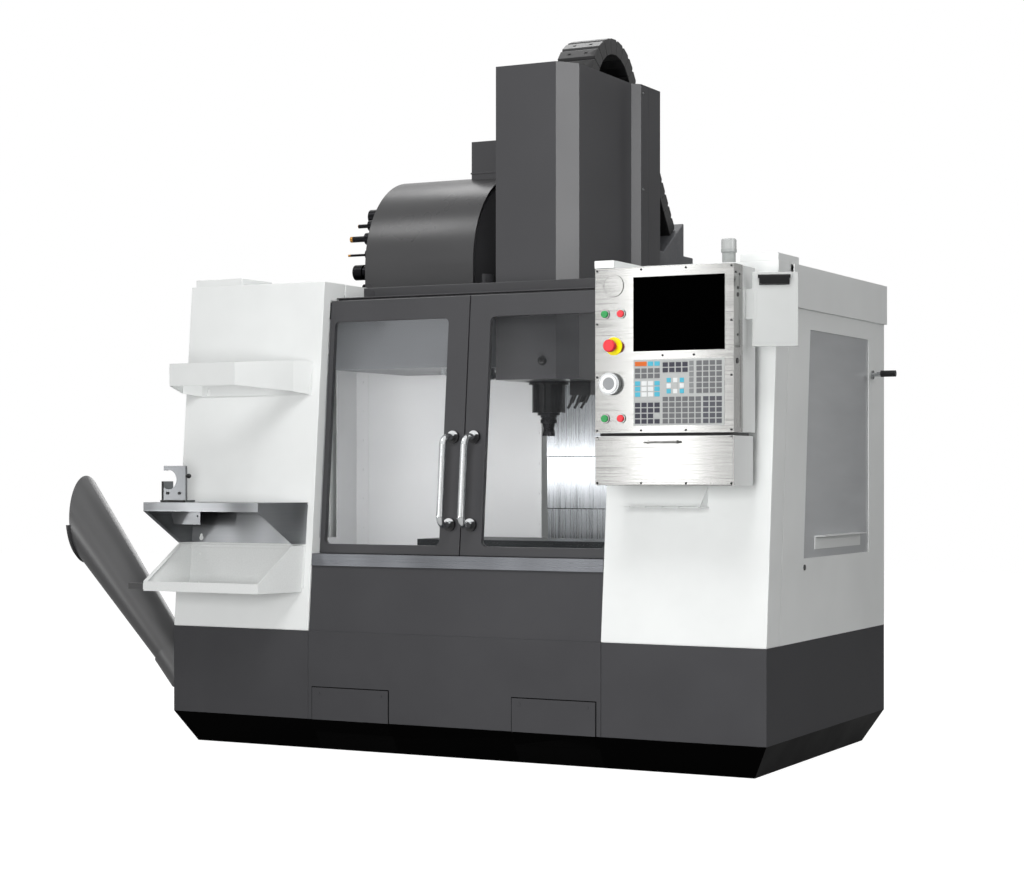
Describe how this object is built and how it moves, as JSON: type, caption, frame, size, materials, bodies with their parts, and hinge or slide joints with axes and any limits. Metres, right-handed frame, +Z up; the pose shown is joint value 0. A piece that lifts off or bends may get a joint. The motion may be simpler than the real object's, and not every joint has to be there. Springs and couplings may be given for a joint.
{
  "type": "cnc machining center",
  "caption": "Enclosed vertical machining centre with sliding doors, side tool changer, swivelling control pendant, tool trays and a chip conveyor with discharge chute",
  "frame": {"origin": "on the floor at the centre of the base skirt's footprint", "axes": "+X to the operator's right, +Y to the rear, +Z up"},
  "size_m": [3.0225, 2.258, 2.7156],
  "materials": {
    "white_powder_coat": "satin",
    "charcoal_powder_coat": "satin",
    "liner_grey_paint": "satin",
    "grey_cast_iron": "rough",
    "brushed_stainless": "brushed",
    "chrome_tube": "polished",
    "black_plastic": "matte",
    "tinted_glass": "clear",
    "ground_steel": "ground",
    "red_plastic": "gloss",
    "green_plastic": "gloss",
    "yellow_plastic": "matte",
    "keypad_membrane": "matte",
    "screen_glass": "gloss",
    "grey_lens": "satin"
  },
  "bodies": {
    "frame": {"base_casting": "grey_cast_iron", "levelling_screws": "ground_steel", "base_skirt": "charcoal_powder_coat", "fork_pocket_covers": "charcoal_powder_coat", "door_sill": "brushed_stainless", "left_front_panel": "white_powder_coat", "right_front_panel": "white_powder_coat", "side_panels": "white_powder_coat", "rear_and_roof": "white_powder_coat", "hood_beam": "charcoal_powder_coat", "inner_walls": "liner_grey_paint", "column": "grey_cast_iron", "z_cover_low": "brushed_stainless", "changer_cover": "charcoal_powder_coat", "changer_frame": "charcoal_powder_coat", "changer_lower_box": "liner_grey_paint", "electrical_cabinet": "white_powder_coat", "pendant_arm": "white_powder_coat", "beacon": "grey_lens", "pendant_shelf": "white_powder_coat", "work_table": "brushed_stainless", "storage_tray": "white_powder_coat", "tool_rack": "white_powder_coat", "tool_vise": "brushed_stainless", "chip_chute": "charcoal_powder_coat", "energy_chain": "black_plastic"},
    "left_door": {"left_door": "charcoal_powder_coat", "left_door_window": "tinted_glass", "left_door_handle": "chrome_tube"},
    "right_door": {"right_door": "charcoal_powder_coat", "right_door_window": "tinted_glass", "right_door_handle": "chrome_tube"},
    "left_window": {"left_side_window": "tinted_glass"},
    "right_window": {"right_side_window": "tinted_glass"},
    "latch": {"window_latch": "black_plastic"},
    "head": {"head_casting": "grey_cast_iron", "head_cover": "charcoal_powder_coat", "z_cover_high": "brushed_stainless"},
    "way_cover": {"z_cover_middle": "brushed_stainless"},
    "spindle": {"spindle": "ground_steel"},
    "saddle": {"saddle": "grey_cast_iron"},
    "table": {"table": "ground_steel"},
    "tool_drum": {"tool_drum": "ground_steel"},
    "tool_arm": {"tool_arm": "ground_steel"},
    "pendant": {"pendant_housing": "white_powder_coat", "pendant_face": "brushed_stainless", "pendant_screws": "black_plastic", "stop_plate": "yellow_plastic", "screen": "screen_glass", "keypad": "keypad_membrane", "clipboard": "white_powder_coat"},
    "storage_flap": {"storage_flap": "brushed_stainless"},
    "power_on": {"power_on_button": "green_plastic"},
    "power_off": {"power_off_button": "red_plastic"},
    "cycle_start": {"cycle_start_button": "green_plastic"},
    "feed_hold": {"feed_hold_button": "red_plastic"},
    "emergency_stop": {"stop_button": "red_plastic"},
    "hand_wheel": {"hand_wheel": "black_plastic"},
    "board_clip": {"board_clip": "black_plastic"},
    "auger": {"chip_auger": "ground_steel"}
  },
  "joints": [
    {"name": "left_door_slide", "type": "slide", "parent": "frame", "child": "left_door", "axis": [-1, 0, 0], "range_m": [0, 0.52]},
    {"name": "right_door_slide", "type": "slide", "parent": "frame", "child": "right_door", "axis": [1, 0, 0], "range_m": [0, 0.52]},
    {"name": "head_slide", "type": "slide", "parent": "frame", "child": "head", "axis": [0, 0, 1], "range_m": [-0.38, 0.121], "deforming": ["energy_chain"]},
    {"name": "way_cover_slide", "type": "slide", "parent": "frame", "child": "way_cover", "axis": [0, 0, 1], "range_m": [-0.19, 0.0605]},
    {"name": "spindle_spin", "type": "hinge", "parent": "head", "child": "spindle", "pos_m": [0, 0.163, 1.2], "axis": [0, 0, -1], "continuous": true},
    {"name": "saddle_slide", "type": "slide", "parent": "frame", "child": "saddle", "axis": [0, 1, 0], "range_m": [-0.153, 0.253]},
    {"name": "table_slide", "type": "slide", "parent": "saddle", "child": "table", "axis": [1, 0, 0], "range_m": [-0.381, 0.381]},
    {"name": "left_window_lift", "type": "slide", "parent": "frame", "child": "left_window", "axis": [0, 0, 1], "range_m": [0, 0.055]},
    {"name": "right_window_lift", "type": "slide", "parent": "frame", "child": "right_window", "axis": [0, 0, 1], "range_m": [0, 0.055]},
    {"name": "window_latch_turn", "type": "hinge", "parent": "frame", "child": "latch", "pos_m": [1.195, 0.487, 1.388], "axis": [1, 0, 0], "range_deg": [0, 90]},
    {"name": "pendant_swivel", "type": "hinge", "parent": "frame", "child": "pendant", "pos_m": [0.69, -0.72, 1.7], "axis": [0, 0, 1], "range_deg": [-90, 0]},
    {"name": "storage_flap_hinge", "type": "hinge", "parent": "pendant", "child": "storage_flap", "pos_m": [0.904, -0.819, 0.981], "axis": [1, 0, 0], "range_deg": [0, 90]},
    {"name": "power_on_press", "type": "slide", "parent": "pendant", "child": "power_on", "axis": [0, 1, 0], "range_m": [0, 0.004], "stiffness_N_per_m": 400},
    {"name": "power_off_press", "type": "slide", "parent": "pendant", "child": "power_off", "axis": [0, 1, 0], "range_m": [0, 0.004], "stiffness_N_per_m": 400},
    {"name": "cycle_start_press", "type": "slide", "parent": "pendant", "child": "cycle_start", "axis": [0, 1, 0], "range_m": [0, 0.004], "stiffness_N_per_m": 400},
    {"name": "feed_hold_press", "type": "slide", "parent": "pendant", "child": "feed_hold", "axis": [0, 1, 0], "range_m": [0, 0.004], "stiffness_N_per_m": 400},
    {"name": "emergency_stop_press", "type": "slide", "parent": "pendant", "child": "emergency_stop", "axis": [0, 1, 0], "range_m": [0, 0.005], "stiffness_N_per_m": 900},
    {"name": "hand_wheel_turn", "type": "hinge", "parent": "pendant", "child": "hand_wheel", "pos_m": [0.717, -0.83, 1.316], "axis": [0, -1, 0], "continuous": true},
    {"name": "board_clip_hinge", "type": "hinge", "parent": "pendant", "child": "board_clip", "pos_m": [1.25157, -0.69122, 1.663], "axis": [-0.9397, -0.342, 0], "range_deg": [0, 25], "stiffness_Nm_per_rad": 0.8},
    {"name": "tool_drum_turn", "type": "hinge", "parent": "frame", "child": "tool_drum", "pos_m": [-0.6, 0.32, 1.86], "axis": [1, 0, 0], "continuous": true},
    {"name": "tool_arm_turn", "type": "hinge", "parent": "frame", "child": "tool_arm", "pos_m": [-0.29, 0.163, 1.404], "axis": [0, 0, 1], "range_deg": [-25, 25]},
    {"name": "chip_auger_turn", "type": "hinge", "parent": "frame", "child": "auger", "pos_m": [0, -0.535, 0.196], "axis": [1, 0, 0], "continuous": true}
  ],
  "couplings": [
    {"joint": "way_cover_slide", "follows": "head_slide", "ratio": 0.5}
  ]
}
